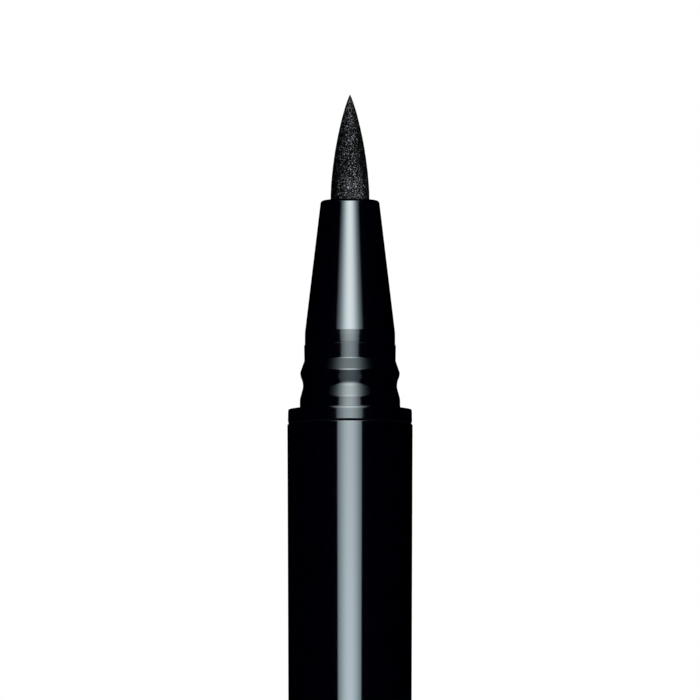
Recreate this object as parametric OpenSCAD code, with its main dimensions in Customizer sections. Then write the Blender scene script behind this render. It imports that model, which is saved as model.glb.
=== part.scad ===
// Liquid eyeliner pen that stands upright on its cap, which is posted on the tail, with the tip up.
// Lengths are in millimetres. The origin is the centre of the cap's flat closed end.

/* [Tip] */
// Diameter of the fibre tip where it leaves the nose cone
tip_d = 3.23; // [2.4:0.01:4]
// Length of the tip in front of the nose cone
tip_out_l = 8.86; // [6:0.01:12]
// Exponent of the tip's outline: 1 is a straight cone, 2 is a parabola
tip_belly = 1.71; // [1.2:0.01:2.4]
// Exponent of the tip's point: 1 is sharp, and less is blunter
tip_point = 0.85; // [0.7:0.01:1.2]
// How far the tip's welded root flange stands out from the tip
tip_flange_step = 0.26; // [0.15:0.01:0.4]
// Height of the root flange
tip_flange_h = 0.6; // [0.4:0.05:1]
// Depth of the hole in the root that takes the feed wick
tip_hole_l = 1.4; // [0.8:0.1:2.2]

/* [Nose cone] */
// Height of the cylindrical band at the foot of the nose cone
nose_band_h = 1.12; // [0.6:0.01:2]
// Height of the cone above that band
nose_cone_h = 10.93; // [9:0.01:15]
// Width of the nose's flat rim around the tip
nose_rim_w = 0.79; // [0.6:0.01:1.1]
// Radius of the nose's top edge
nose_edge_r = 0.28; // [0.1:0.01:0.4]
// Length of the narrow bore around the tip
nose_lip_l = 2; // [1.2:0.1:3]
// How far the nose's band lies inside the throat below it
nose_inset = 0.04; // [0.01:0.01:0.1]
// Length of the spigot that plugs into the front section
nose_spigot_l = 5; // [3:0.1:5.2]
// Wall of that spigot
nose_spigot_wall = 0.6; // [0.45:0.01:0.9]

/* [Tip retainer] */
// Length of the retainer's sleeve
retainer_l = 4.76; // [3:0.01:6]
// How far the retainer's foot stands out from the bore of its sleeve
retainer_foot_step = 0.625; // [0.4:0.005:0.9]
// Height of the retainer's foot
retainer_foot_h = 1.2; // [0.8:0.05:2]
// Number of breather flutes along the sleeve
flute_n = 4; // [2:1:6]
// Width of a flute
flute_w = 0.5; // [0.3:0.05:0.8]
// Depth of a flute
flute_depth = 0.3; // [0.15:0.01:0.5]

/* [Front section] */
// Wall of the throat around the nose cone's spigot
throat_wall = 0.61; // [0.45:0.01:0.9]
// How much wider in radius the throat is at its top than at its foot
throat_draft = 0.025; // [0:0.005:0.04]
// Height of the throat
throat_h = 1.28; // [0.8:0.01:3]
// Height of the slope between the bead's crest and the throat
flare_h = 1.04; // [0.9:0.01:2]
// Radius that rounds the inner corner between that slope and the throat
flare_corner_r = 0.25; // [0.05:0.05:0.5]
// How far the bead's crest stands out from the throat, before it is rounded
bead_step = 0.345; // [0.3:0.005:0.45]
// Radius that rounds the bead's crest and the foot of its band
bead_r = 0.3; // [0.1:0.05:0.6]
// Height of the band under the bead's crest
bead_band_h = 0.36; // [0.2:0.01:0.6]
// How much narrower in radius that band is at its foot
bead_band_step = 0.05; // [0.02:0.005:0.08]
// Height from the neck's root to the foot of that band
bead_rise = 0.65; // [0.5:0.01:1.2]
// How far the neck's two slopes would meet outside the throat
neck_step = 0.055; // [0:0.005:0.15]
// Radius that rounds the neck
neck_r = 1.05; // [0.3:0.05:1.2]
// Height from the collar's top to the neck's root
neck_rise = 1.16; // [0.9:0.01:2]
// How far the collar stands out from the throat
collar_step = 0.385; // [0.3:0.005:0.45]
// Height of the collar that guides the cap
collar_h = 0.88; // [0.5:0.01:1.5]
// Radius of the collar's top edge
collar_edge_r = 0.7; // [0.05:0.05:0.9]
// Height of the shoulder ring
shoulder_h = 1.06; // [0.9:0.01:2.5]
// How far the shoulder ring lies inside the barrel's front edge
shoulder_inset = 0.045; // [0:0.005:0.15]
// How much narrower in radius the shoulder ring is at its top
shoulder_draft = 0.02; // [0:0.005:0.05]
// Radius of the shoulder ring's top edge
shoulder_edge_r = 0.1; // [0.05:0.01:0.4]
// Height of the groove between the shoulder ring and the barrel
groove_h = 0.12; // [0.08:0.01:0.3]
// Depth of that groove
groove_depth = 0.06; // [0.04:0.01:0.35]
// Length of the skirt inside the barrel
skirt_l = 20.6; // [16:0.1:26]
// Wall of the skirt
skirt_wall = 0.6; // [0.5:0.01:0.8]
// Depth of the collector chamber's roof below the shoulder's top
chamber_roof_depth = 0.2; // [0.1:0.01:0.6]

/* [Ink system] */
// Diameter of the feed wick
wick_d = 1.9; // [1.4:0.05:2.3]
// Wall of the collector's core tube
core_wall = 0.625; // [0.45:0.005:0.8]
// Height of the head that seats the collector under the retainer
collector_head_h = 1; // [0.6:0.05:1.6]
// Thickness of a collector fin
fin_t = 0.35; // [0.25:0.01:0.5]
// Gap between two fins
fin_gap = 0.42; // [0.3:0.01:0.7]
// Width of the ink slit through the fins
slit_w = 0.3; // [0.2:0.01:0.5]
// Radial gap between the fins and the chamber
chamber_gap = 0.1; // [0.05:0.01:0.2]
// Height of the collector's flange on the stopper
collector_flange_h = 1; // [0.6:0.05:1.6]
// Height of the rubber stopper
stopper_h = 4; // [3:0.1:6]
// How much of the stopper sits in the skirt, the rest being in the tank
stopper_in_skirt_l = 1.3; // [0.8:0.1:2]
// How far the collector's nipple reaches past the stopper
nipple_out_l = 0.9; // [0.5:0.1:2]
// How far the wick reaches past the nipple
wick_out_l = 0.5; // [0.2:0.1:1.5]
// Wall of the ink tank
tank_wall = 0.6; // [0.4:0.01:0.8]
// Length of the tank plug inside the tank
tank_plug_l = 3; // [2:0.1:5]
// Height of the tank plug's flange
tank_plug_flange_h = 1; // [0.6:0.05:1.6]
// Diameter of the steel mixing ball
ball_d = 4; // [3:0.1:4.8]

/* [Barrel] */
// Length from the tail flange's underside to the shoulder's top
pen_l = 91; // [75:1:120]
// How far the barrel's front edge stands outside the cap's mouth
barrel_proud = 0.05; // [0:0.01:0.2]
// How much smaller in radius the barrel is at its tail
barrel_taper = 0.33; // [0.1:0.01:0.4]
// Wall of the barrel at its tail
barrel_wall = 0.54; // [0.4:0.01:0.7]
// Radius of the barrel's front edge
barrel_edge_r = 0.05; // [0.05:0.01:0.25]
// Height of the tail plug's flange
tail_flange_h = 1; // [0.6:0.05:2]
// Length of the tail plug inside the barrel
tail_plug_l = 13.1; // [8:0.1:20]
// Wall of the tail plug
tail_wall = 0.8; // [0.5:0.01:1.2]
// How far the posting spigot reaches past its bead's crest
tail_nose_h = 0.36; // [0.3:0.01:0.7]

/* [Cap] */
// Wall of the cap shell at its closed end
cap_wall = 0.55; // [0.45:0.01:0.9]
// How much larger in radius the cap is at its mouth
cap_taper = 0.15; // [0:0.01:0.3]
// Radial width of the step that keeps the inner cap in
cap_step = 0.225; // [0.15:0.005:0.35]
// Distance from the posting spigot's end to the inner cap
cap_reserve = 0.35; // [0.2:0.01:0.6]
// Radius of the cap mouth's edges
cap_mouth_r = 0.15; // [0.05:0.01:0.25]
// Length of the snap ridge inside the mouth
ridge_l = 0.8; // [0.5:0.05:1]
// Thickness of the cap's end plug
cap_end_h = 1.2; // [0.8:0.05:2]
// Radius of the cap's closed edge
cap_edge_r = 0.3; // [0.1:0.05:0.6]
// Length of the end plug's ring inside the shell
cap_plug_l = 2.5; // [1.5:0.1:4]
// Wall of that ring
cap_plug_wall = 0.7; // [0.5:0.01:1]
// Height of the boss that centres the spring on the end plug
plug_boss_h = 2; // [1:0.1:3]
// Height of the boss that centres the spring on the inner cap
inner_boss_h = 1.5; // [0.8:0.1:2.5]
// Thickness of the inner cap's floor
inner_cap_floor = 0.9; // [0.6:0.05:1.5]
// Free length inside the inner cap beyond the tip
inner_cap_spare = 1.48; // [0.8:0.01:3]

/* [Cap spring] */
// Length of the spring in the cap
spring_l = 10.58; // [8:0.01:14]
// Outside diameter of the spring
spring_d = 5.6; // [5:0.05:6.5]
// Diameter of the spring's wire
wire_d = 0.45; // [0.35:0.01:0.6]
// Number of turns
spring_turns = 7; // [5:1:8]
// Gap between the spring's wire and the bosses inside it
boss_gap = 0.4; // [0.25:0.01:0.6]

/* [Fits] */
// Radial gap between pieces that are pressed or snapped together
press_gap = 0.02; // [0.01:0.005:0.04]
// Radial gap between the tubes that slip into each other
slip_gap = 0.03; // [0.01:0.005:0.06]
// Radial gap between the cap's mouth and the collar
cap_gap = 0.05; // [0.02:0.005:0.1]
// Radial gap between the inner cap and the throat that it seals
seal_gap = 0.02; // [0.01:0.005:0.06]
// Radial gap between the tip's root flange and its seat
tip_gap = 0.05; // [0.02:0.005:0.1]

/* [Hidden] */

gloss_black = [0.04, 0.04, 0.06];
soft_black = [0.16, 0.16, 0.17];
milky = [0.82, 0.84, 0.82];
pale_grey = [0.62, 0.64, 0.66];
rubber_grey = [0.30, 0.31, 0.33];
fibre_white = [0.88, 0.88, 0.84];
steel = [0.75, 0.76, 0.78];

// Smoothness of turned faces, of a rounded corner and of the tip's outline
turn_fn = 96;
corner_steps = 5;
tip_steps = 20;
// How far a cut runs past the face that it opens
overrun = 0.2;
// Share of the shorter neighbouring edge that a rounded corner may use up
corner_room_share = 0.48;

// Front radii, from the tip outwards
tip_r = tip_d / 2;
tip_bore_r = tip_r + press_gap;
tip_flange_r = tip_r + tip_flange_step;
retainer_bore_r = tip_flange_r + tip_gap;
retainer_r = retainer_bore_r - press_gap;
nose_bore_r = retainer_bore_r + retainer_foot_step;
nose_spigot_r = nose_bore_r + nose_spigot_wall;
socket_r = nose_spigot_r + slip_gap;
throat_r = socket_r + throat_wall;
throat_top_r = throat_r + throat_draft;
nose_r = throat_r - nose_inset;
nose_top_r = tip_bore_r + nose_rim_w;
collar_r = throat_r + collar_step;
neck_root_r = throat_r + neck_step;
bead_peak_r = throat_r + bead_step;
bead_foot_r = bead_peak_r - bead_band_step;

// Heights above the shoulder's top, shared by the front section and the posting spigot
neck_h = collar_h + neck_rise;
bead_foot_h = neck_h + bead_rise;
bead_h = bead_foot_h + bead_band_h;
flare_top_h = bead_h + flare_h;
section_h = flare_top_h + throat_h;
front_h = section_h + nose_band_h + nose_cone_h + tip_out_l;

// The bead's crest after rounding, and the ridge that passes it
bead_lower_angle = atan(bead_band_step / bead_band_h);
bead_upper_angle = atan(bead_step / flare_h);
bead_half_turn = (bead_upper_angle + bead_lower_angle) / 2;
bead_lean = (bead_upper_angle - bead_lower_angle) / 2;
bead_crest_r = bead_peak_r - bead_r * (cos(bead_lean) / cos(bead_half_turn) - 1);
cap_mouth_bore_r = max(collar_r, bead_crest_r) + cap_gap;
ridge_crest_r = bead_crest_r + slip_gap;

// Cap radii, from the inside outwards
seal_r = throat_top_r + seal_gap;
cap_bore_r = cap_mouth_bore_r + cap_step;
inner_cap_r = cap_bore_r - slip_gap;
cap_tail_r = cap_bore_r + cap_wall;
cap_mouth_out_r = cap_tail_r + cap_taper;
spring_r = spring_d / 2 - wire_d / 2;
boss_r = spring_r - wire_d / 2 - boss_gap;

// Barrel radii, from the outside inwards
barrel_r = cap_mouth_out_r + barrel_proud;
barrel_tail_r = barrel_r - barrel_taper;
barrel_bore_r = barrel_tail_r - barrel_wall;
shoulder_r = barrel_r - shoulder_inset;
liner_r = barrel_bore_r - slip_gap;
chamber_r = liner_r - skirt_wall;
tank_bore_r = liner_r - tank_wall;
fin_r = chamber_r - chamber_gap;
wick_r = wick_d / 2;
wick_bore_r = wick_r + press_gap;
core_r = wick_bore_r + core_wall;
ball_r = ball_d / 2;

// Cap lengths, from the mouth inwards
post_l = bead_h + tail_nose_h;
inner_cap_depth = post_l + cap_reserve;
seal_h = bead_h + (bead_peak_r - seal_r) / (bead_peak_r - throat_r) * flare_h;
inner_cap_hollow_l = front_h - seal_h + inner_cap_spare;
inner_cap_l = inner_cap_hollow_l + inner_cap_floor;
cap_l = inner_cap_depth + inner_cap_l + spring_l + cap_end_h;

// Places along the pen's axis
cap_step_z = cap_l - inner_cap_depth;
inner_cap_z = cap_step_z - inner_cap_l;
tail_z = cap_l;
barrel_z = tail_z + tail_flange_h;
shoulder_z = tail_z + pen_l;
barrel_top_z = shoulder_z - shoulder_h - groove_h;
skirt_z = shoulder_z - shoulder_h - skirt_l;
seam_z = shoulder_z + section_h;
nose_cone_z = seam_z + nose_band_h;
nose_top_z = nose_cone_z + nose_cone_h;
tip_flange_z = nose_top_z - nose_lip_l - tip_flange_h;
retainer_foot_z = tip_flange_z - retainer_l;
retainer_z = retainer_foot_z - retainer_foot_h;
chamber_top_z = shoulder_z - chamber_roof_depth;
stopper_z = skirt_z + stopper_in_skirt_l - stopper_h;
collector_flange_z = stopper_z + stopper_h;
collector_z = stopper_z - nipple_out_l;
wick_z = collector_z - wick_out_l;
wick_top_z = tip_flange_z + tip_hole_l - press_gap;
tank_z = barrel_z + tail_plug_l + tank_plug_flange_h;
tank_floor_z = tank_z + tank_plug_l;
ball_rest_z = tank_floor_z + press_gap + ball_r;
fin_pitch = fin_t + fin_gap;
fin_first_z = collector_flange_z + collector_flange_h + fin_gap;
fin_n = floor((chamber_top_z - fin_first_z) / fin_pitch);

function unit(v) = v / norm(v);

// One corner of an outline, [radius, height, rounding], as the points of its arc
function corner(before, here, after) =
    let (
        p = [here[0], here[1]],
        u = [before[0], before[1]] - p,
        v = [after[0], after[1]] - p,
        half = acos(max(-1, min(1, unit(u) * unit(v)))) / 2
    )
    here[2] == 0 || half > 89.9 ? [p] :
    let (
        reach = min(here[2] / tan(half), corner_room_share * min(norm(u), norm(v))),
        r = reach * tan(half),
        centre = p + unit(unit(u) + unit(v)) * r / sin(half),
        from = p + unit(u) * reach - centre,
        to = p + unit(v) * reach - centre,
        first = atan2(from[1], from[0]),
        turn = (atan2(to[1], to[0]) - first + 540) % 360 - 180
    )
    [
        for (k = [0 : corner_steps])
            let (a = first + turn * k / corner_steps)
            centre + r * [cos(a), sin(a)]
    ];

function rounded(outline) =
    let (n = len(outline))
    [
        for (i = [0 : n - 1])
            each corner(outline[(i + n - 1) % n], outline[i], outline[(i + 1) % n])
    ];

module turned(outline) {
    rotate_extrude($fn = turn_fn) polygon(rounded(outline));
}

// Collar, neck and bead on a shoulder, rising from height z, or hanging from it where way is -1
function cap_seat(z, way) = [
    [collar_r, z, 0],
    [collar_r, z + way * collar_h, collar_edge_r],
    [neck_root_r, z + way * neck_h, neck_r],
    [bead_foot_r, z + way * bead_foot_h, bead_r],
    [bead_peak_r, z + way * bead_h, bead_r]
];

// Radius of the bead's outer slope at a height above the shoulder
function flare_r(h) = bead_peak_r - (h - bead_h) / flare_h * bead_step;

module brush_tip() {
    color(soft_black) difference() {
        turned(concat(
            [
                [0, tip_flange_z, 0],
                [tip_flange_r, tip_flange_z, 0],
                [tip_flange_r, tip_flange_z + tip_flange_h, 0],
                [tip_r, tip_flange_z + tip_flange_h, 0]
            ],
            [
                for (k = [0 : tip_steps])
                    let (t = k / tip_steps)
                    [tip_r * pow(1 - pow(t, tip_belly), tip_point), nose_top_z + tip_out_l * t, 0]
            ]
        ));
        translate([0, 0, tip_flange_z - overrun])
            cylinder(h = tip_hole_l + overrun, r = wick_bore_r, $fn = turn_fn);
    }
}

module nose_cone() {
    color(gloss_black) turned([
        [nose_bore_r, seam_z - nose_spigot_l, 0],
        [nose_spigot_r, seam_z - nose_spigot_l, 0],
        [nose_spigot_r, seam_z, 0],
        [nose_r, seam_z, 0],
        [nose_r, nose_cone_z, 0],
        [nose_top_r, nose_top_z, nose_edge_r],
        [tip_bore_r, nose_top_z, 0],
        [tip_bore_r, nose_top_z - nose_lip_l, 0],
        [retainer_bore_r, nose_top_z - nose_lip_l, 0],
        [retainer_bore_r, retainer_foot_z, 0],
        [nose_bore_r, retainer_foot_z, 0]
    ]);
}

module tip_retainer() {
    color(pale_grey) difference() {
        turned([
            [wick_bore_r, retainer_z, 0],
            [nose_bore_r - press_gap, retainer_z, 0],
            [nose_bore_r - press_gap, retainer_foot_z, 0],
            [retainer_r, retainer_foot_z, 0],
            [retainer_r, tip_flange_z, 0],
            [wick_bore_r, tip_flange_z, 0]
        ]);
        for (k = [0 : flute_n - 1])
            rotate([0, 0, k * 360 / flute_n])
                translate([retainer_r - flute_depth, -flute_w / 2, retainer_foot_z])
                    cube([flute_depth + overrun, flute_w, retainer_l + overrun]);
    }
}

module front_section() {
    color(gloss_black) turned(concat(
        [
            [chamber_r, skirt_z, 0],
            [liner_r, skirt_z, 0],
            [liner_r, barrel_top_z, 0],
            [shoulder_r - groove_depth, barrel_top_z, 0],
            [shoulder_r - groove_depth, shoulder_z - shoulder_h, 0],
            [shoulder_r, shoulder_z - shoulder_h, 0],
            [shoulder_r - shoulder_draft, shoulder_z, shoulder_edge_r]
        ],
        cap_seat(shoulder_z, 1),
        [
            [throat_r, shoulder_z + flare_top_h, flare_corner_r],
            [throat_top_r, seam_z, 0],
            [socket_r, seam_z, 0],
            [socket_r, chamber_top_z, 0],
            [chamber_r, chamber_top_z, 0]
        ]
    ));
}

module feed_wick() {
    color(fibre_white) translate([0, 0, wick_z])
        cylinder(h = wick_top_z - wick_z, r = wick_r, $fn = turn_fn);
}

module ink_collector() {
    head_r = nose_bore_r - press_gap;
    fin_tops = fin_first_z + (fin_n - 1) * fin_pitch + fin_t;
    color(milky) difference() {
        turned(concat(
            [
                [wick_bore_r, collector_z, 0],
                [core_r, collector_z, 0],
                [core_r, collector_flange_z, 0],
                [fin_r, collector_flange_z, 0],
                [fin_r, collector_flange_z + collector_flange_h, 0],
                [core_r, collector_flange_z + collector_flange_h, 0]
            ],
            [
                for (k = [0 : fin_n - 1])
                    let (z = fin_first_z + k * fin_pitch)
                    each [[core_r, z, 0], [fin_r, z, 0], [fin_r, z + fin_t, 0], [core_r, z + fin_t, 0]]
            ],
            [
                [core_r, retainer_z - collector_head_h, 0],
                [head_r, retainer_z - collector_head_h, 0],
                [head_r, retainer_z, 0],
                [wick_bore_r, retainer_z, 0]
            ]
        ));
        translate([wick_r, -slit_w / 2, fin_first_z])
            cube([fin_r, slit_w, fin_tops - fin_first_z + overrun]);
    }
}

module tank_stopper() {
    color(rubber_grey) turned([
        [core_r + press_gap, stopper_z, 0],
        [min(chamber_r, tank_bore_r) - press_gap, stopper_z, 0],
        [min(chamber_r, tank_bore_r) - press_gap, stopper_z + stopper_h, 0],
        [core_r + press_gap, stopper_z + stopper_h, 0]
    ]);
}

module ink_tank() {
    color(milky) turned([
        [tank_bore_r, tank_z, 0],
        [liner_r, tank_z, 0],
        [liner_r, skirt_z, 0],
        [tank_bore_r, skirt_z, 0]
    ]);
}

module mixing_ball() {
    color(steel) translate([0, 0, ball_rest_z]) sphere(r = ball_r, $fn = turn_fn);
}

module tank_plug() {
    color(pale_grey) turned([
        [0, tank_z - tank_plug_flange_h, 0],
        [liner_r, tank_z - tank_plug_flange_h, 0],
        [liner_r, tank_z, 0],
        [tank_bore_r - press_gap, tank_z, 0],
        [tank_bore_r - press_gap, tank_floor_z, 0],
        [0, tank_floor_z, 0]
    ]);
}

module outer_barrel() {
    color(gloss_black) turned([
        [barrel_bore_r, barrel_z, 0],
        [barrel_tail_r, barrel_z, barrel_edge_r],
        [barrel_r, barrel_top_z, barrel_edge_r],
        [barrel_bore_r, barrel_top_z, 0]
    ]);
}

module tail_plug() {
    tube_top_z = tank_z - tank_plug_flange_h;
    color(gloss_black) turned(concat(
        [
            [0, barrel_z, 0],
            [liner_r - tail_wall, barrel_z, 0],
            [liner_r - tail_wall, tube_top_z, 0],
            [liner_r, tube_top_z, 0],
            [liner_r, barrel_z, 0],
            [barrel_tail_r, barrel_z, barrel_edge_r],
            [barrel_tail_r, tail_z, barrel_edge_r]
        ],
        cap_seat(tail_z, -1),
        [
            [flare_r(post_l), tail_z - post_l, 0],
            [0, tail_z - post_l, 0]
        ]
    ));
}

module cap_shell() {
    ridge_z = tail_z - neck_h;
    color(gloss_black) turned([
        [cap_bore_r, cap_end_h, 0],
        [cap_tail_r, cap_end_h, 0],
        [cap_mouth_out_r, cap_l, cap_mouth_r],
        [cap_mouth_bore_r, cap_l, cap_mouth_r],
        [cap_mouth_bore_r, ridge_z + ridge_l / 2, 0],
        [ridge_crest_r, ridge_z, 0],
        [cap_mouth_bore_r, ridge_z - ridge_l / 2, 0],
        [cap_mouth_bore_r, cap_step_z, 0],
        [cap_bore_r, cap_step_z, 0]
    ]);
}

module cap_end_plug() {
    ring_r = cap_bore_r - press_gap;
    color(gloss_black) turned([
        [0, 0, 0],
        [cap_tail_r, 0, cap_edge_r],
        [cap_tail_r, cap_end_h, 0],
        [ring_r, cap_end_h, 0],
        [ring_r, cap_end_h + cap_plug_l, 0],
        [ring_r - cap_plug_wall, cap_end_h + cap_plug_l, 0],
        [ring_r - cap_plug_wall, cap_end_h, 0],
        [boss_r, cap_end_h, 0],
        [boss_r, cap_end_h + plug_boss_h, 0],
        [0, cap_end_h + plug_boss_h, 0]
    ]);
}

module inner_cap() {
    color(milky) turned([
        [0, inner_cap_z - inner_boss_h, 0],
        [boss_r, inner_cap_z - inner_boss_h, 0],
        [boss_r, inner_cap_z, 0],
        [inner_cap_r, inner_cap_z, 0],
        [inner_cap_r, cap_step_z, 0],
        [seal_r, cap_step_z, 0],
        [seal_r, inner_cap_z + inner_cap_floor, 0],
        [0, inner_cap_z + inner_cap_floor, 0]
    ]);
}

// The spring is one unbroken wire, wound on a helix
ring_sides = 6;
turn_rings = 8;
spring_rings = spring_turns * turn_rings;
spring_foot_z = cap_end_h + press_gap + wire_d / 2;
spring_head_z = inner_cap_z - press_gap - wire_d / 2;
spring_pitch = (spring_head_z - spring_foot_z) / spring_turns;
spring_tilt = atan(spring_pitch / (2 * PI * spring_r));

function spring_place(i) =
    let (a = i * 360 / turn_rings)
    [spring_r * cos(a), spring_r * sin(a), spring_foot_z + spring_pitch * i / turn_rings];

function spring_ring(i) =
    let (
        a = i * 360 / turn_rings,
        outward = [cos(a), sin(a), 0],
        across = [sin(a) * sin(spring_tilt), -cos(a) * sin(spring_tilt), cos(spring_tilt)]
    )
    [
        for (k = [0 : ring_sides - 1])
            let (b = k * 360 / ring_sides)
            spring_place(i) + wire_d / 2 * (cos(b) * outward + sin(b) * across)
    ];

// Least distance between the wire's surfaces in neighbouring turns, from points along its middle
spring_gap = min([
    for (i = [0 : spring_rings - turn_rings])
        each [
            for (j = [i + turn_rings - 1 : min(spring_rings, i + turn_rings + 1)])
                norm(spring_place(i) - spring_place(j)) - wire_d
        ]
]);
echo(spring_gap_to_itself_mm = spring_gap);

module cap_spring() {
    foot = spring_rings * ring_sides + ring_sides;
    head = foot + 1;
    points = concat(
        [for (i = [0 : spring_rings]) each spring_ring(i)],
        [spring_place(0), spring_place(spring_rings)]
    );
    sides = [
        for (i = [0 : spring_rings - 1])
            for (k = [0 : ring_sides - 1])
                let (
                    a = i * ring_sides + k,
                    b = i * ring_sides + (k + 1) % ring_sides,
                    c = a + ring_sides,
                    d = b + ring_sides
                )
                each [[a, b, d], [a, d, c]]
    ];
    ends = [
        for (k = [0 : ring_sides - 1])
            let (
                n = (k + 1) % ring_sides,
                last = spring_rings * ring_sides
            )
            each [[foot, n, k], [head, last + k, last + n]]
    ];
    color(steel) polyhedron(points = points, faces = concat(sides, ends));
}

brush_tip();
nose_cone();
tip_retainer();
front_section();
feed_wick();
ink_collector();
tank_stopper();
ink_tank();
mixing_ball();
tank_plug();
outer_barrel();
tail_plug();
cap_shell();
cap_end_plug();
inner_cap();
cap_spring();
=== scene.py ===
import math

import bmesh
import bpy
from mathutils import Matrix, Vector, noise


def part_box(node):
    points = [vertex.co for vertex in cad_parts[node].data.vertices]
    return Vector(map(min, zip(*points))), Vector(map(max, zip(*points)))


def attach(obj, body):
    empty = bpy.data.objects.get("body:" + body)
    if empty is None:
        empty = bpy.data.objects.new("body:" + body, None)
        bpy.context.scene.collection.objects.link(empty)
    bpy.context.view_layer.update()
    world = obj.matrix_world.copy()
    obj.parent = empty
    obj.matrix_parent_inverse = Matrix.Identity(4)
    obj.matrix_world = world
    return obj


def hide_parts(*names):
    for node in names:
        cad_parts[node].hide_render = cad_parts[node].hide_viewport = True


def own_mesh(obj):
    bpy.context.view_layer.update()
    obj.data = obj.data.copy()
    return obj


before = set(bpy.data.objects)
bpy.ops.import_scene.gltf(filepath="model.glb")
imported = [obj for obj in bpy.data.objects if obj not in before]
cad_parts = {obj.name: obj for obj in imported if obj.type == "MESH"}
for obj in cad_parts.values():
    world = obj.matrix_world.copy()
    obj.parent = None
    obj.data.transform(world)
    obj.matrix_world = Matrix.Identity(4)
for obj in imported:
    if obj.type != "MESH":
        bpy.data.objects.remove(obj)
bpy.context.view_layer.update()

# The camera
# It stands in front of the pen, a little below the nose, and looks up at it through a very long lens,
# so the rings show their undersides as they do in the photograph.
MM = 0.001
CAMERA_FAR = 2000 * MM
CAMERA_LOOKS_UP = math.radians(4.34)
PICTURE_WIDTH = 58.13 * MM
APEX_TO_MIDDLE = 21.30 * MM
SENSOR_MM = 36
CLIP_START = 10 * MM
tip_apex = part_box("brush_tip")[1][2]
aim = Vector((0, 0, tip_apex - APEX_TO_MIDDLE))
sight = Vector((0, math.cos(CAMERA_LOOKS_UP), math.sin(CAMERA_LOOKS_UP)))
lens = bpy.data.cameras.new("camera")
lens.sensor_width = SENSOR_MM
lens.lens = SENSOR_MM * CAMERA_FAR / PICTURE_WIDTH
lens.clip_start = CLIP_START
camera = bpy.data.objects.new("camera", lens)
camera.location = aim - sight * CAMERA_FAR
camera.rotation_euler = sight.to_track_quat("-Z", "Y").to_euler()
bpy.context.scene.collection.objects.link(camera)
bpy.context.scene.camera = camera
bpy.context.scene.view_settings.view_transform = "Standard"

# The white backdrop and the pale floor
# The world is white wherever the camera or a clear piece looks at it, and a weak fill elsewhere. The
# floor is a wide pale table that the cap stands on. It fades into the white with distance for the
# camera alone, and the gloss doesn't mirror it.
WHITE = 1.0
FILL = 0.14
FLOOR_HALF = 1200 * MM
FLOOR_GREY = (0.88, 0.88, 0.88, 1)
FLOOR_ROUGHNESS = 0.7
FLOOR_GLOW = 0.4


def new_material(name):
    """A material with its node tree, and the tree's Principled shader."""
    material = bpy.data.materials.new(name)
    material.use_nodes = True
    return material, material.node_tree, material.node_tree.nodes["Principled BSDF"]


def fed(tree, kind, operation, inputs):
    """The outputs of a node that is fed with numbers, vectors and other nodes' results."""
    node = tree.nodes.new(kind)
    node.operation = operation
    for socket, value in zip(node.inputs, inputs):
        if isinstance(value, bpy.types.NodeSocket):
            tree.links.new(value, socket)
        else:
            socket.default_value = value
    return node.outputs


def maths(tree, operation, *inputs):
    """A Math node's result."""
    return fed(tree, "ShaderNodeMath", operation, inputs)[0]


def mixed(tree, share, none, full):
    """A value that goes from none to full as the share goes from 0 to 1."""
    return maths(tree, "MULTIPLY_ADD", share, full - none, none)


def between(tree, value, none_at, full_at, change="SMOOTHSTEP"):
    """0 at none_at and beyond, 1 at full_at and beyond, and a smooth or linear change between them."""
    fade = tree.nodes.new("ShaderNodeMapRange")
    fade.interpolation_type = change
    fade.inputs["From Min"].default_value = none_at
    fade.inputs["From Max"].default_value = full_at
    tree.links.new(value, fade.inputs["Value"])
    return fade.outputs["Result"]


def own_place(tree):
    """The shaded place in the object's own coordinates, in metres."""
    return tree.nodes.new("ShaderNodeTexCoord").outputs["Object"]


def stage_object(name, bm, material):
    """A part of the studio, which isn't part of the pen."""
    mesh = bpy.data.meshes.new(name)
    bm.to_mesh(mesh)
    bm.free()
    mesh.materials.append(material)
    obj = bpy.data.objects.new(name, mesh)
    bpy.context.scene.collection.objects.link(obj)
    return obj


world = bpy.data.worlds.new("white_backdrop")
world.use_nodes = True
tree = world.node_tree
rays = tree.nodes.new("ShaderNodeLightPath").outputs
seen = maths(tree, "MAXIMUM", rays["Is Camera Ray"], rays["Is Transmission Ray"])
tree.links.new(mixed(tree, seen, FILL, WHITE), tree.nodes["Background"].inputs["Strength"])
tree.nodes["Background"].inputs["Color"].default_value = (1, 1, 1, 1)
bpy.context.scene.world = world

floor_paint, tree, shader = new_material("pale_floor")
shader.inputs["Base Color"].default_value = FLOOR_GREY
shader.inputs["Roughness"].default_value = FLOOR_ROUGHNESS
from_middle = fed(tree, "ShaderNodeVectorMath", "LENGTH", [own_place(tree)])["Value"]
glow = mixed(tree, between(tree, from_middle, 0, FLOOR_HALF), FLOOR_GLOW, WHITE)
seen = tree.nodes.new("ShaderNodeLightPath").outputs["Is Camera Ray"]
tree.links.new(maths(tree, "MULTIPLY", seen, glow), shader.inputs["Emission Strength"])
shader.inputs["Emission Color"].default_value = (1, 1, 1, 1)
bm = bmesh.new()
bmesh.ops.create_grid(bm, x_segments=1, y_segments=1, size=FLOOR_HALF)
stage_object("floor", bm, floor_paint).visible_glossy = False

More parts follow.
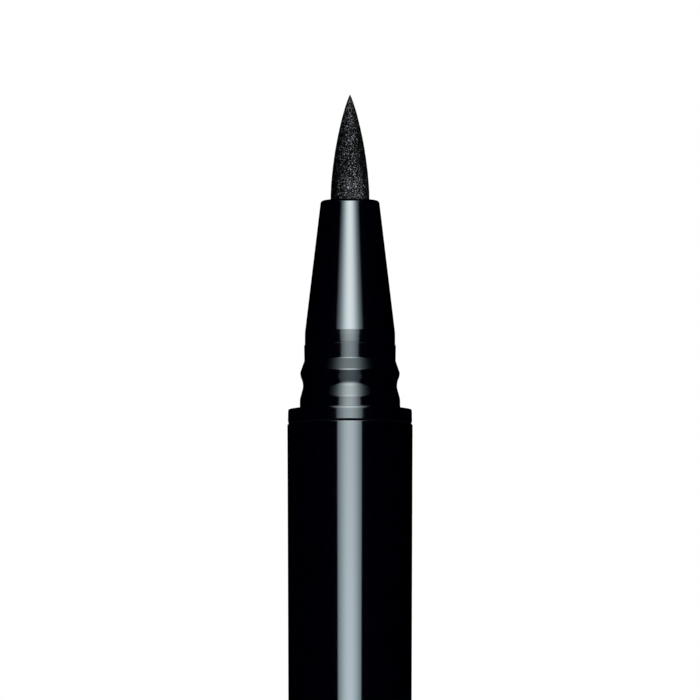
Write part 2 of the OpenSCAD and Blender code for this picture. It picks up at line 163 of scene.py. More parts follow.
# The studio light
# A soft lamp in front, above the camera, lights what is matt. The gloss sees a black ball all round
# instead, with a bright card in the lamp's place, a dim one low in front and a narrow strip behind.
# The card in front and the strip fade towards the floor, so that the pen looks black from above too.
LAMP_FAR = 1600 * MM
LAMP_SIZE = 900 * MM
LAMP_WATTS = 25
BALL_FAR = 4000 * MM
BALL_SIDES = 72
MAIN_TURN = math.radians(-0.8)
MAIN_RISE = math.radians(20)
MAIN_HALF_WIDTH = math.radians(17)
MAIN_HALF_HEIGHT = math.radians(28)
MAIN_FOOT = math.radians(1.6)
MAIN_FOOT_SOFT = math.radians(12)
MAIN_TOP = math.radians(42.4)
MAIN_TOP_SOFT = math.radians(3.5)
MAIN_SHARPNESS = 2.2
MAIN_PEAK = 9.8
MAIN_COLOUR = (0.897, 1.0, 1.03, 1)
MAIN_DIM_COLOUR = (0.78, 1.0, 1.12, 1)
MAIN_EDGE = math.radians(19.57)
MAIN_EDGE_GROWTH = 0.775
MAIN_EDGE_SOFT = math.radians(0.9)
LOW_PEAK = 1.4
LOW_HALF_WIDTH = math.radians(17.5)
LOW_EDGE = math.radians(24.3)
LOW_EDGE_SOFT = math.radians(2)
LOW_TOP = math.radians(-1)
BACK_PEAK = 5.0
BACK_HALF_WIDTH = math.radians(9)
BACK_SHARPNESS = 4
BACK_TOP = math.radians(1.4)
CARD_TOP_SOFT = math.radians(0.8)
CARD_FOOT = math.radians(-52)
CARD_FOOT_SOFT = math.radians(9)
CARD_LEAST = 0.15


def bell(tree, value, middle, half, sharpness=2):
    """1 at the middle, and a half at half away from it, with steeper sides where it is sharper."""
    off = maths(tree, "ABSOLUTE", maths(tree, "DIVIDE", maths(tree, "SUBTRACT", value, middle), half))
    return maths(tree, "POWER", 0.5, maths(tree, "POWER", off, sharpness))


def product(tree, first, *others):
    """All the values multiplied."""
    for other in others:
        first = maths(tree, "MULTIPLY", first, other)
    return first


def axes_of(tree, place):
    """A place's three coordinates."""
    split = tree.nodes.new("ShaderNodeSeparateXYZ")
    tree.links.new(place, split.inputs[0])
    return split.outputs


lamp_data = bpy.data.lights.new("lamp", "AREA")
lamp_data.shape = "DISK"
lamp_data.size = LAMP_SIZE
lamp_data.energy = LAMP_WATTS
lamp = bpy.data.objects.new("lamp", lamp_data)
to_lamp = Vector((math.sin(MAIN_TURN), -math.cos(MAIN_TURN), math.tan(MAIN_RISE))).normalized()
lamp.location = aim + to_lamp * LAMP_FAR
lamp.rotation_euler = to_lamp.to_track_quat("Z", "Y").to_euler()
lamp.visible_camera = False
lamp.visible_glossy = False
bpy.context.scene.collection.objects.link(lamp)

# The sideways and upward angles of a place on the ball, seen from the pen
cards = bpy.data.materials.new("studio_cards")
cards.use_nodes = True
tree = cards.node_tree
tree.nodes.clear()
out_from_pen = fed(tree, "ShaderNodeVectorMath", "SUBTRACT", [own_place(tree), aim])[0]
direction = fed(tree, "ShaderNodeVectorMath", "NORMALIZE", [out_from_pen])[0]
rightward, backward, upward = axes_of(tree, direction)
side = maths(tree, "ARCSINE", rightward)
rise = maths(tree, "ARCSINE", upward)
in_front = maths(tree, "LESS_THAN", backward, 0.0)

# The main card widens upwards
off_main = maths(tree, "ABSOLUTE", maths(tree, "SUBTRACT", side, MAIN_TURN))
to_edge = maths(tree, "SUBTRACT", maths(tree, "MULTIPLY_ADD", rise, MAIN_EDGE_GROWTH, MAIN_EDGE), off_main)
main = product(
    tree,
    in_front,
    bell(tree, side, MAIN_TURN, MAIN_HALF_WIDTH, MAIN_SHARPNESS),
    bell(tree, rise, MAIN_RISE, MAIN_HALF_HEIGHT),
    between(tree, to_edge, -MAIN_EDGE_SOFT, MAIN_EDGE_SOFT),
    between(tree, rise, MAIN_FOOT - MAIN_FOOT_SOFT, MAIN_FOOT + MAIN_FOOT_SOFT),
    between(tree, rise, MAIN_TOP + MAIN_TOP_SOFT, MAIN_TOP - MAIN_TOP_SOFT),
)
above_foot = between(tree, rise, CARD_FOOT - CARD_FOOT_SOFT, CARD_FOOT + CARD_FOOT_SOFT)
fading = mixed(tree, above_foot, CARD_LEAST, 1)
low = product(
    tree,
    in_front,
    fading,
    bell(tree, side, 0.0, LOW_HALF_WIDTH),
    between(tree, maths(tree, "ABSOLUTE", side), LOW_EDGE + LOW_EDGE_SOFT, LOW_EDGE - LOW_EDGE_SOFT),
    between(tree, rise, LOW_TOP + CARD_TOP_SOFT, LOW_TOP - CARD_TOP_SOFT),
)
back = product(
    tree,
    maths(tree, "SUBTRACT", 1.0, in_front),
    fading,
    bell(tree, side, 0.0, BACK_HALF_WIDTH, BACK_SHARPNESS),
    between(tree, rise, BACK_TOP + CARD_TOP_SOFT, BACK_TOP - CARD_TOP_SOFT),
)
strength = maths(tree, "MULTIPLY", main, MAIN_PEAK)
strength = maths(tree, "MULTIPLY_ADD", low, LOW_PEAK, strength)
strength = maths(tree, "MULTIPLY_ADD", back, BACK_PEAK, strength)
tint = tree.nodes.new("ShaderNodeMix")
tint.data_type = "RGBA"
tint.inputs["A"].default_value = MAIN_DIM_COLOUR
tint.inputs["B"].default_value = MAIN_COLOUR
tree.links.new(main, tint.inputs["Factor"])
emission = tree.nodes.new("ShaderNodeEmission")
tree.links.new(tint.outputs["Result"], emission.inputs["Color"])
tree.links.new(strength, emission.inputs["Strength"])
tree.links.new(emission.outputs[0], tree.nodes.new("ShaderNodeOutputMaterial").inputs["Surface"])

bm = bmesh.new()
bmesh.ops.create_uvsphere(bm, u_segments=BALL_SIDES, v_segments=BALL_SIDES // 2, radius=BALL_FAR)
bmesh.ops.reverse_faces(bm, faces=bm.faces)
bmesh.ops.translate(bm, verts=bm.verts, vec=aim)
ball = stage_object("studio_ball", bm, cards)
ball.visible_camera = False
ball.visible_diffuse = False
ball.visible_shadow = False
ball.visible_transmission = False

# Brush tip
# Bonded synthetic fibres, ground to a fine point and soaked in black ink. The welded root flange
# sits behind the nose's lip, and the feed wick enters a hole in it.
TIP_R = 1.615 * MM
TIP_OUT = 8.86 * MM
TIP_BELLY = 1.71
TIP_POINT = 0.85
TIP_RINGS = 150
TIP_STEPS = 200
TIP_FLANGE_R = 1.875 * MM
TIP_FLANGE_H = 0.6 * MM
TIP_HOLE_R = 0.97 * MM
TIP_HOLE_L = 1.4 * MM
FIBRE_RELIEF = 0.014 * MM
FIBRE_GRAINS = 8000
FIBRE_STRETCH = 0.7
FIBRE_ROUGHNESS = 0.6
FIBRE_SHINE = 0.03
SPECK_GRAINS = 17000
SPECK_BUMP = 0.5
SPECK_DEPTH = 0.03 * MM
SPECK_TONES = (
    (0.55, (0.0001, 0.0001, 0.0001)),
    (0.65, (0.0018, 0.0022, 0.0020)),
    (0.72, (0.038, 0.042, 0.041)),
    (0.84, (0.56, 0.57, 0.65)),
)
# A painted sheen: a patch of lighter specks on the front of the tip, near the root.
PAINTED_SHEEN_RIGHT = 0.65 * MM
PAINTED_SHEEN_UP = 0.95 * MM
PAINTED_SHEEN_FAR = 2.4 * MM
PAINTED_SHEEN_GAIN = 0.07
# Painted light and shade: the front of the tip gets lighter specks, fading to none at the darker sides.
FRONT_LIGHT_GAIN = 0.08
FRONT_LIGHT_TURN = math.radians(4)
FRONT_LIGHT_HALF_TURN = math.radians(75)
POINT_L = 3 * TIP_OUT / 4
POINT_GAIN = 0.03
SMOOTH_BELOW = math.radians(32)
TINY = 0.0008 * MM
tip_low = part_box("brush_tip")[0][2]
tip_root = tip_apex - TIP_OUT


def spun(outline, steps):
    """A turned mesh from (radius, height) points, closed through the bore or on the axis."""
    bm = bmesh.new()
    ring = [bm.verts.new((radius, 0, height)) for radius, height in outline]
    pairs = list(zip(ring, ring[1:]))
    if outline[0][0] > 0 or outline[-1][0] > 0:
        pairs.append((ring[-1], ring[0]))
    edges = [bm.edges.new(pair) for pair in pairs]
    bmesh.ops.spin(
        bm, geom=ring + edges, cent=(0, 0, 0), axis=(0, 0, 1), angle=math.tau, steps=steps, use_merge=True
    )
    bmesh.ops.remove_doubles(bm, verts=bm.verts, dist=TINY)
    bmesh.ops.recalc_face_normals(bm, faces=bm.faces)
    return bm


def finished(name, bm, body, node, slot, *materials):
    """The piece as an object with smooth faces and crisp edges, in place of its CAD node."""
    mesh = bpy.data.meshes.new(name)
    bm.to_mesh(mesh)
    bm.free()
    mesh.shade_smooth()
    mesh.set_sharp_from_angle(angle=SMOOTH_BELOW)
    for material in materials:
        mesh.materials.append(material)
    piece = bpy.data.objects.new(name, mesh)
    bpy.context.scene.collection.objects.link(piece)
    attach(piece, body)
    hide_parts(node)
    return piece


def grain(tree, scale, stretch=1.0, detail=4.0):
    """Noise fixed in the piece, drawn out along the pen where stretch is under 1."""
    place = tree.nodes.new("ShaderNodeMapping")
    place.inputs["Scale"].default_value = (1, 1, stretch)
    tree.links.new(own_place(tree), place.inputs["Vector"])
    node = tree.nodes.new("ShaderNodeTexNoise")
    node.inputs["Scale"].default_value = scale
    node.inputs["Detail"].default_value = detail
    tree.links.new(place.outputs[0], node.inputs["Vector"])
    return node.outputs["Fac"]


def colours(tree, shader, value, *stops):
    """A base colour that runs through (position, colour) stops with the value."""
    ramp = tree.nodes.new("ShaderNodeValToRGB")
    elements = ramp.color_ramp.elements
    for element, (position, colour) in zip(elements, (stops[0], stops[-1])):
        element.position = position
        element.color = (*colour, 1)
    for position, colour in stops[1:-1]:
        elements.new(position).color = (*colour, 1)
    tree.links.new(value, ramp.inputs["Fac"])
    tree.links.new(ramp.outputs[0], shader.inputs["Base Color"])


def relief(tree, shader, height, bump, depth):
    """A fine unevenness of the surface."""
    node = tree.nodes.new("ShaderNodeBump")
    node.inputs["Strength"].default_value = bump
    node.inputs["Distance"].default_value = depth
    tree.links.new(height, node.inputs["Height"])
    tree.links.new(node.outputs[0], shader.inputs["Normal"])


outline = [
    (0, tip_low + TIP_HOLE_L),
    (TIP_HOLE_R, tip_low + TIP_HOLE_L),
    (TIP_HOLE_R, tip_low),
    (TIP_FLANGE_R, tip_low),
    (TIP_FLANGE_R, tip_low + TIP_FLANGE_H),
    (TIP_R, tip_low + TIP_FLANGE_H),
]
for k in range(TIP_RINGS):
    share = k / TIP_RINGS
    outline.append((TIP_R * (1 - share ** TIP_BELLY) ** TIP_POINT, tip_root + TIP_OUT * share))
bm = spun(outline + [(0, tip_apex)], TIP_STEPS)
for vert in bm.verts:
    radius = vert.co.xy.length
    if vert.co.z > tip_root + TIP_OUT / TIP_RINGS / 2 and radius > TINY:
        lump = noise.noise(Vector((vert.co.x, vert.co.y, vert.co.z * FIBRE_STRETCH)) * FIBRE_GRAINS)
        vert.co.xy *= 1 + lump * FIBRE_RELIEF / max(radius, TIP_R / 2)

fibre, tree, shader = new_material("inked_fibre")
speck = grain(tree, SPECK_GRAINS, FIBRE_STRETCH, detail=1)
place = own_place(tree)
painted_sheen_middle = (PAINTED_SHEEN_RIGHT, -TIP_R, tip_root + PAINTED_SHEEN_UP)
from_painted_sheen = fed(tree, "ShaderNodeVectorMath", "DISTANCE", [place, painted_sheen_middle])["Value"]
rightward, backward, upward = axes_of(tree, place)
turn = maths(tree, "ARCTAN2", rightward, maths(tree, "MULTIPLY", backward, -1.0))
off_front = maths(tree, "ABSOLUTE", maths(tree, "SUBTRACT", turn, FRONT_LIGHT_TURN))

# Specks, with more of them as painted light: a painted sheen near the root and a lighter front with shaded
# sides; more towards the point too
specks_and_painted_light = speck
for gain, share in (
    (PAINTED_SHEEN_GAIN, between(tree, from_painted_sheen, PAINTED_SHEEN_FAR, 0)),
    (FRONT_LIGHT_GAIN, between(tree, off_front, FRONT_LIGHT_HALF_TURN, 0)),
    (POINT_GAIN, between(tree, upward, tip_apex - POINT_L, tip_apex)),
):
    specks_and_painted_light = maths(tree, "MULTIPLY_ADD", share, gain, specks_and_painted_light)
colours(tree, shader, specks_and_painted_light, *SPECK_TONES)
relief(tree, shader, speck, SPECK_BUMP, SPECK_DEPTH)
shader.inputs["Roughness"].default_value = FIBRE_ROUGHNESS
shader.inputs["Specular IOR Level"].default_value = FIBRE_SHINE
finished("brush_tip_fibres", bm, "pen", "brush_tip", "fibre_tip", fibre)

# Nose cone
# A black moulding that holds the tip in a narrow lip. Its spigot snaps into the front section,
# and its polished cone ends in a flat rim with a rounded edge.
TURN_STEPS = 288
NOSE_R = 3.75 * MM
NOSE_TOP_R = 2.425 * MM
NOSE_BAND_H = 1.07 * MM
NOSE_BAND_MID_H = 0.4 * MM
NOSE_BAND_FOOT_R = 3.747 * MM
NOSE_BAND_TOP_R = 3.738 * MM
NOSE_BAND_SWELL = 25 * MM
NOSE_SPIGOT_L = 5.0 * MM
NOSE_SPIGOT_R = 3.15 * MM
NOSE_BORE_R = 2.55 * MM
NOSE_LIP_R = 1.635 * MM
NOSE_LIP_L = 2.0 * MM
NOSE_SEAT_R = 1.925 * MM
NOSE_SEAT_L = 5.36 * MM
NOSE_EDGE_R = 0.28 * MM
NOSE_BAND_ROUND = 0.1 * MM
DEGREES_A_SEGMENT = 6
LEAST_SEGMENTS = 3
EVEN_STRIP = 0.01 * MM
LEAST_SPAN = 3 * EVEN_STRIP
BLACK_TONES = ((0.3, (0.00005, 0.00010, 0.0012)), (0.7, (0.00015, 0.00025, 0.0018)))
MOTTLE_GRAINS = 900
MOTTLE_BUMP = 0.05
MOTTLE_DEPTH = 0.01 * MM
POLISH_VARIES = 0.15
PLASTIC_IOR = 1.6
MOULDED_ROUGHNESS = 0.10
VARNISH_WEIGHT = 0.4
VARNISH_IOR = 1.6
VARNISH_ROUGHNESS = 0.08
nose_low, nose_top = (corner[2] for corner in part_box("nose_cone"))
seam = nose_low + NOSE_SPIGOT_L


def turned(*outline):
    """A turned mesh from (radius, height) points, with a rounded ring where a point has a radius as well.

    Extra rings close to each corner keep the straight stretches between them evenly shaded.
    """
    points = [Vector(point[:2]) for point in outline]
    corners = []
    for number, here in enumerate(points):
        before = points[number - 1] - here
        after = points[(number + 1) % len(points)] - here
        turn = math.pi - before.angle(after)
        rounding = outline[number][2] if len(outline[number]) > 2 else 0
        corners.append((here, turn, rounding * math.tan(turn / 2)))
    rings = []
    for number, (here, turn, reach) in enumerate(corners):
        there, _, reach_there = corners[(number + 1) % len(corners)]
        way = (there - here).normalized()
        rings.append(here)
        if (there - here).length > reach + reach_there + LEAST_SPAN and max(here.x, there.x) > TINY:
            rings += [here + way * (reach + EVEN_STRIP), there - way * (reach_there + EVEN_STRIP)]
    if points[0].x < TINY and points[-1].x < TINY:
        rings = rings[:rings.index(points[-1]) + 1]
    bm = spun(rings, TURN_STEPS)
    for here, turn, reach in corners:
        if not reach:
            continue
        around = [
            edge for edge in bm.edges
            if all((Vector((vert.co.xy.length, vert.co.z)) - here).length < TINY for vert in edge.verts)
        ]
        bmesh.ops.bevel(
            bm, geom=around, offset=reach, offset_type="OFFSET", profile=0.5,
            segments=max(LEAST_SEGMENTS, round(math.degrees(turn) / DEGREES_A_SEGMENT)),
            affect="EDGES", material=-1, clamp_overlap=True,
        )
    return bm


bm = turned(
    (NOSE_BORE_R, nose_low),
    (NOSE_SPIGOT_R, nose_low),
    (NOSE_SPIGOT_R, seam),
    (NOSE_BAND_FOOT_R, seam),
    (NOSE_R, seam + NOSE_BAND_MID_H, NOSE_BAND_SWELL),
    (NOSE_BAND_TOP_R, seam + NOSE_BAND_H, NOSE_BAND_ROUND),
    (NOSE_TOP_R, nose_top, NOSE_EDGE_R),
    (NOSE_LIP_R, nose_top),
    (NOSE_LIP_R, nose_top - NOSE_LIP_L),
    (NOSE_SEAT_R, nose_top - NOSE_LIP_L),
    (NOSE_SEAT_R, nose_top - NOSE_LIP_L - NOSE_SEAT_L),
    (NOSE_BORE_R, nose_top - NOSE_LIP_L - NOSE_SEAT_L),
)


def black_gloss(name, roughness):
    """Polished black plastic, with a fine unevenness that the eye only finds in the highlights."""
    material, tree, shader = new_material(name)
    mottle = grain(tree, MOTTLE_GRAINS)
    polish = mixed(tree, mottle, roughness * (1 - POLISH_VARIES), roughness * (1 + POLISH_VARIES))
    tree.links.new(polish, shader.inputs["Roughness"])
    colours(tree, shader, mottle, *BLACK_TONES)
    relief(tree, shader, mottle, MOTTLE_BUMP, MOTTLE_DEPTH)
    shader.inputs["IOR"].default_value = PLASTIC_IOR
    return material, tree, shader


for face in bm.faces:
    if face.calc_center_median().z > seam + NOSE_BAND_H:
        face.material_index = 1
moulded_black = black_gloss("moulded_black", MOULDED_ROUGHNESS)[0]
varnished_black, tree, shader = black_gloss("varnished_black", MOULDED_ROUGHNESS)
shader.inputs["Coat Weight"].default_value = VARNISH_WEIGHT
shader.inputs["Coat IOR"].default_value = VARNISH_IOR
shader.inputs["Coat Roughness"].default_value = VARNISH_ROUGHNESS
finished("nose_cone_shell", bm, "pen", "nose_cone", "front_gloss", moulded_black, varnished_black)

# Front section
# The black moulding that joins the nose to the barrel: throat, bead, neck, collar and shoulder ring
# outside, and inside the barrel a skirt that holds the collector. Its groove is a darker, matt black
# that barely shines, painted shade in the gap.
THROAT_R = 3.79 * MM
THROAT_TOP_R = 3.81 * MM
THROAT_EDGE = 0.06 * MM
SECTION_H = 5.37 * MM
FLARE_TOP_H = 4.07 * MM
FLARE_ROUND = 0.25 * MM
BEAD_PEAK_R = 4.135 * MM
BEAD_H = 3.07 * MM
BEAD_FOOT_R = 4.085 * MM
BEAD_FOOT_H = 2.69 * MM
BEAD_ROUND = 0.3 * MM
NECK_ROOT_R = 3.845 * MM
NECK_H = 2.04 * MM
NECK_ROUND = 1.05 * MM
COLLAR_R = 4.175 * MM
COLLAR_MID_R = 4.163 * MM
COLLAR_MID_H = 0.42 * MM
COLLAR_SWELL = 30 * MM
COLLAR_TOP_R = 4.158 * MM
COLLAR_H = 0.88 * MM
COLLAR_ROUND = 0.7 * MM
SHOULDER_R = 5.155 * MM
SHOULDER_TOP_R = 5.119 * MM
SHOULDER_H = 1.08 * MM
SHOULDER_ROUND = 0.04 * MM
SHOULDER_EASE_R = 5.143 * MM
SHOULDER_EASE_H = 0.17 * MM
SHOULDER_EASE_ROUND = 1.0 * MM
SHOULDER_LOWER_ROUND = 0.02 * MM
GROOVE_H = 0.165 * MM
GROOVE_DEPTH = 0.06 * MM
LINER_R = 4.30 * MM
CHAMBER_R = 3.70 * MM
SOCKET_R = 3.18 * MM
ROOF_DEPTH = 0.2 * MM
# A darker black for the groove, painted shade in the gap.
GROOVE_SHADE_TONES = ((0.3, (0.00005, 0.00010, 0.0007)), (0.7, (0.00015, 0.00025, 0.0012)))
GROOVE_ROUGHNESS = 0.9
GROOVE_SHINE = 0.05
skirt_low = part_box("front_section")[0][2]
shoulder = seam - SECTION_H
groove_top = shoulder - SHOULDER_H
groove_low = groove_top - GROOVE_H


def cap_seat(foot, way):
    """Collar, neck and bead on a shoulder, rising from a height, or hanging from it where way is -1."""
    return [
        (COLLAR_R, foot),
        (COLLAR_MID_R, foot + way * COLLAR_MID_H, COLLAR_SWELL),
        (COLLAR_TOP_R, foot + way * COLLAR_H, COLLAR_ROUND),
        (NECK_ROOT_R, foot + way * NECK_H, NECK_ROUND),
        (BEAD_FOOT_R, foot + way * BEAD_FOOT_H, BEAD_ROUND),
        (BEAD_PEAK_R, foot + way * BEAD_H, BEAD_ROUND),
    ]


bm = turned(
    (CHAMBER_R, skirt_low),
    (LINER_R, skirt_low),
    (LINER_R, groove_low),
    (SHOULDER_R - GROOVE_DEPTH, groove_low),
    (SHOULDER_R - GROOVE_DEPTH, groove_top),
    (SHOULDER_R, groove_top, SHOULDER_LOWER_ROUND),
    (SHOULDER_EASE_R, shoulder - SHOULDER_EASE_H, SHOULDER_EASE_ROUND),
    (SHOULDER_TOP_R, shoulder, SHOULDER_ROUND),
    *cap_seat(shoulder, 1),
    (THROAT_R, shoulder + FLARE_TOP_H, FLARE_ROUND),
    (THROAT_TOP_R, seam, THROAT_EDGE),
    (SOCKET_R, seam),
    (SOCKET_R, shoulder - ROOF_DEPTH),
    (CHAMBER_R, shoulder - ROOF_DEPTH),
)
# The groove's faces take the darker matt black that paints the shade in the gap.
for face in bm.faces:
    middle = face.calc_center_median()
    if groove_low - TINY < middle.z < groove_top + TINY and middle.xy.length > LINER_R:
        face.material_index = 1
groove_painted_shade, tree, shader = new_material("groove_painted_shade")
colours(tree, shader, grain(tree, MOTTLE_GRAINS), *GROOVE_SHADE_TONES)
shader.inputs["Roughness"].default_value = GROOVE_ROUGHNESS
shader.inputs["Specular IOR Level"].default_value = GROOVE_SHINE
finished("front_section_shell", bm, "pen", "front_section", "front_gloss", moulded_black, groove_painted_shade)

# Outer barrel
# A black lacquered tube, a little slimmer towards the tail, pushed over the front section's skirt.
# The lacquer is thinner at the very front, so the gloss grows deeper down the barrel.
BARREL_R = 5.20 * MM
BARREL_TAIL_R = 4.87 * MM
BARREL_BORE_R = 4.33 * MM
BARREL_ROUND = 0.04 * MM
LACQUERED_ROUGHNESS = 0.07
LACQUER_IOR = 1.716
LACQUER_ROUGHNESS = 0.05
LACQUER_AT_FRONT = 0.535
LACQUER_GROWTH_L = 25 * MM
barrel_low, barrel_top = (corner[2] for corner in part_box("outer_barrel"))
bm = turned(
    (BARREL_BORE_R, barrel_low),
    (BARREL_TAIL_R, barrel_low, BARREL_ROUND),
    (BARREL_R, groove_low, BARREL_ROUND),
    (BARREL_BORE_R, groove_low),
)
lacquered_black, tree, shader = black_gloss("lacquered_black", LACQUERED_ROUGHNESS)
upward = axes_of(tree, own_place(tree))[2]
frontness = between(tree, upward, barrel_top - LACQUER_GROWTH_L, barrel_top, change="LINEAR")
tree.links.new(mixed(tree, frontness, 1, LACQUER_AT_FRONT), shader.inputs["Coat Weight"])
shader.inputs["Coat IOR"].default_value = LACQUER_IOR
shader.inputs["Coat Roughness"].default_value = LACQUER_ROUGHNESS
finished("outer_barrel_tube", bm, "pen", "outer_barrel", "barrel_gloss", lacquered_black)

# Tail plug
# The moulding that closes the barrel. Its flange shows as a thin ring, and below it hangs a posting
# spigot with the same collar, neck and bead as the front, which the cap's mouth snaps on.
TAIL_WALL = 0.8 * MM
plug_low, plug_top = (corner[2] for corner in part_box("tail_plug"))
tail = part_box("cap_shell")[1][2]
spigot_end_r = BEAD_PEAK_R - (tail - BEAD_H - plug_low) * (BEAD_PEAK_R - THROAT_R) / (FLARE_TOP_H - BEAD_H)
bm = turned(
    (0, barrel_low),
    (LINER_R - TAIL_WALL, barrel_low),
    (LINER_R - TAIL_WALL, plug_top),
    (LINER_R, plug_top),
    (LINER_R, barrel_low),
    (BARREL_TAIL_R, barrel_low, BARREL_ROUND),
    (BARREL_TAIL_R, tail, BARREL_ROUND),
    *cap_seat(tail, -1),
    (spigot_end_r, plug_low),
    (0, plug_low),
)
finished("tail_plug_moulding", bm, "pen", "tail_plug", "front_gloss", moulded_black)

# Cap shell
# A black lacquered sleeve, open at both ends, a little wider at its mouth. A ridge inside the mouth
# snaps past the bead, and a step further in keeps the inner cap from falling out.
CAP_TAIL_R = 5.0 * MM
CAP_MOUTH_R = 5.15 * MM
CAP_BORE_R = 4.45 * MM
CAP_MOUTH_BORE_R = 4.225 * MM
CAP_MOUTH_ROUND = 0.15 * MM
RIDGE_R = 4.158 * MM
RIDGE_L = 0.8 * MM
shell_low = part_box("cap_shell")[0][2]
cap_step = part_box("inner_cap")[1][2]
ridge = tail - NECK_H
bm = turned(
    (CAP_BORE_R, shell_low),
    (CAP_TAIL_R, shell_low),
    (CAP_MOUTH_R, tail, CAP_MOUTH_ROUND),
    (CAP_MOUTH_BORE_R, tail, CAP_MOUTH_ROUND),
    (CAP_MOUTH_BORE_R, ridge + RIDGE_L / 2),
    (RIDGE_R, ridge),
    (CAP_MOUTH_BORE_R, ridge - RIDGE_L / 2),
    (CAP_MOUTH_BORE_R, cap_step),
    (CAP_BORE_R, cap_step),
)
finished("cap_shell_sleeve", bm, "cap", "cap_shell", "barrel_gloss", lacquered_black)

# Cap end plug
# The lacquered disc that closes the cap, and that the pen stands on. Its ring is pressed into the
# sleeve, and its boss centres the spring.
END_ROUND = 0.3 * MM
END_RING_R = 4.43 * MM
END_RING_WALL = 0.7 * MM
END_BOSS_R = 1.95 * MM
END_BOSS_H = 2.0 * MM
end_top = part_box("cap_end_plug")[1][2]
bm = turned(
    (0, 0),
    (CAP_TAIL_R, 0, END_ROUND),
    (CAP_TAIL_R, shell_low),
    (END_RING_R, shell_low),
    (END_RING_R, end_top),
    (END_RING_R - END_RING_WALL, end_top),
    (END_RING_R - END_RING_WALL, shell_low),
    (END_BOSS_R, shell_low),
    (END_BOSS_R, shell_low + END_BOSS_H),
    (0, shell_low + END_BOSS_H),
)
finished("cap_end_disc", bm, "cap", "cap_end_plug", "barrel_gloss", lacquered_black)

# Inner cap
# A milky cup that slides in the cap and seals on the pen's throat. The boss under its floor sits in
# the spring.
INNER_CAP_R = 4.42 * MM
INNER_SEAL_R = 3.835 * MM
INNER_FLOOR = 0.9 * MM
INNER_BOSS_H = 1.5 * MM
INNER_ROUND = 0.1 * MM
CUP_COLOUR = (0.78, 0.80, 0.78)
CUP_CLEAR = 0.35
CLOUD_SHADE = 0.94
cup_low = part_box("inner_cap")[0][2] + INNER_BOSS_H
bm = turned(
    (0, cup_low - INNER_BOSS_H),
    (END_BOSS_R, cup_low - INNER_BOSS_H, INNER_ROUND),
    (END_BOSS_R, cup_low),
    (INNER_CAP_R, cup_low, INNER_ROUND),
    (INNER_CAP_R, cap_step, INNER_ROUND),
    (INNER_SEAL_R, cap_step, INNER_ROUND),
    (INNER_SEAL_R, cup_low + INNER_FLOOR),
    (0, cup_low + INNER_FLOOR),
)


def grained(name, grains, tones, bump, depth, roughness, stretch=1.0):
    """A material whose colour and surface vary with one fine grain, and its Principled shader."""
    material, tree, shader = new_material(name)
    marks = grain(tree, grains, stretch)
    colours(tree, shader, marks, *tones)
    relief(tree, shader, marks, bump, depth)
    shader.inputs["Roughness"].default_value = roughness
    return material, shader


def milky_moulding(name, colour, clear):
    """A moulding in natural resin, whose cloudiness varies softly."""
    cloudy = [part * CLOUD_SHADE for part in colour]
    material, shader = grained(
        name, grains=450, tones=((0.3, cloudy), (0.7, colour)), bump=0.1, depth=0.02 * MM, roughness=0.42
    )
    shader.inputs["Transmission Weight"].default_value = clear
    return material


milky = milky_moulding("milky_moulding", CUP_COLOUR, CUP_CLEAR)
finished("inner_cap_cup", bm, "inner_cap", "inner_cap", "milky_moulding", milky)

# Cap spring
# Bright steel wire wound on a helix, with a closed turn at each end. It presses the inner cap on the
# pen's throat, and shortens as the cup is pushed in.
SPRING_R = 2.575 * MM
WIRE_R = 0.225 * MM
WIRE_SIDES = 12
OPEN_TURNS = 5
STEPS_A_TURN = 48
END_PITCH = 0.47 * MM
DRAWN_WIRE_ROUGHNESS = 0.28
spring_low, spring_top = (corner[2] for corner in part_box("cap_spring"))
open_pitch = (spring_top - spring_low - 2 * WIRE_R - 2 * END_PITCH) / OPEN_TURNS
bm = bmesh.new()
wire = bmesh.ops.create_circle(bm, segments=WIRE_SIDES, radius=WIRE_R, cap_ends=False)["verts"]
on_edge = Vector((0, 0, 1)).rotation_difference((0, 1, 0)).to_matrix()
bmesh.ops.rotate(bm, verts=wire, cent=(0, 0, 0), matrix=on_edge)
bmesh.ops.translate(bm, verts=wire, vec=(SPRING_R, 0, spring_low + WIRE_R))
last = wire + list(bm.edges)
bmesh.ops.contextual_create(bm, geom=list(bm.edges))
for turns, pitch in ((1, END_PITCH), (OPEN_TURNS, open_pitch), (1, END_PITCH)):
    last = bmesh.ops.spin(
        bm, geom=last, cent=(0, 0, 0), axis=(0, 0, 1), dvec=(0, 0, pitch / STEPS_A_TURN),
        angle=math.tau * turns, steps=STEPS_A_TURN * turns,
    )["geom_last"]
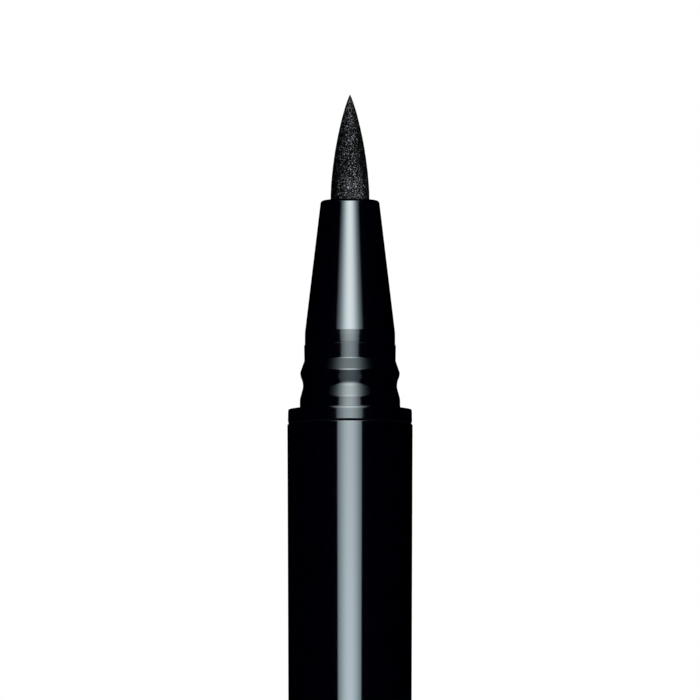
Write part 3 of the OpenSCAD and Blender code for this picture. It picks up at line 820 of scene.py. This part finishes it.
bmesh.ops.contextual_create(bm, geom=[part for part in last if isinstance(part, bmesh.types.BMEdge)])
bmesh.ops.recalc_face_normals(bm, faces=bm.faces)


def bright_steel(name, roughness):
    """Drawn or ground stainless steel, with fine marks that run along the pen."""
    material, shader = grained(
        name, grains=2500, stretch=0.3, tones=((0.3, (0.60, 0.61, 0.63)), (0.7, (0.76, 0.77, 0.79))),
        bump=0.1, depth=0.01 * MM, roughness=roughness,
    )
    shader.inputs["Metallic"].default_value = 1
    return material


drawn_wire = bright_steel("spring_steel", DRAWN_WIRE_ROUGHNESS)
spring = finished("cap_spring_wire", bm, "cap", "cap_spring", "bright_steel", drawn_wire)
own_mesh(spring)

# Inside the pen
# These pieces keep their CAD shapes: the satin retainer and tank plug, the milky collector and tank,
# the wick of bonded fibre, the rubber ring between collector and tank, and the loose steel ball.
TANK_COLOUR = (0.74, 0.77, 0.76)
TANK_CLEAR = 0.5
GROUND_BALL_ROUGHNESS = 0.12


def dress(material, *nodes):
    """Puts the material on CAD nodes."""
    for node in nodes:
        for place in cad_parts[node].material_slots:
            place.material = material


satin = grained(
    "satin_moulding", grains=1500, tones=((0.3, (0.50, 0.51, 0.52)), (0.7, (0.57, 0.58, 0.59))),
    bump=0.2, depth=0.01 * MM, roughness=0.5,
)[0]
dress(satin, "tip_retainer", "tank_plug")

dress(milky, "ink_collector")
dress(milky_moulding("tank_moulding", TANK_COLOUR, TANK_CLEAR), "ink_tank")

wick = grained(
    "wick_fibre", grains=9000, stretch=0.04, tones=((0.35, (0.55, 0.55, 0.51)), (0.65, (0.84, 0.84, 0.80))),
    bump=0.6, depth=0.03 * MM, roughness=0.85,
)[0]
dress(wick, "feed_wick")

rubber = grained(
    "stopper_rubber", grains=3500, tones=((0.35, (0.045, 0.045, 0.05)), (0.75, (0.075, 0.075, 0.08))),
    bump=0.3, depth=0.02 * MM, roughness=0.75,
)[0]
dress(rubber, "tank_stopper")

dress(bright_steel("ball_steel", GROUND_BALL_ROUGHNESS), "mixing_ball")
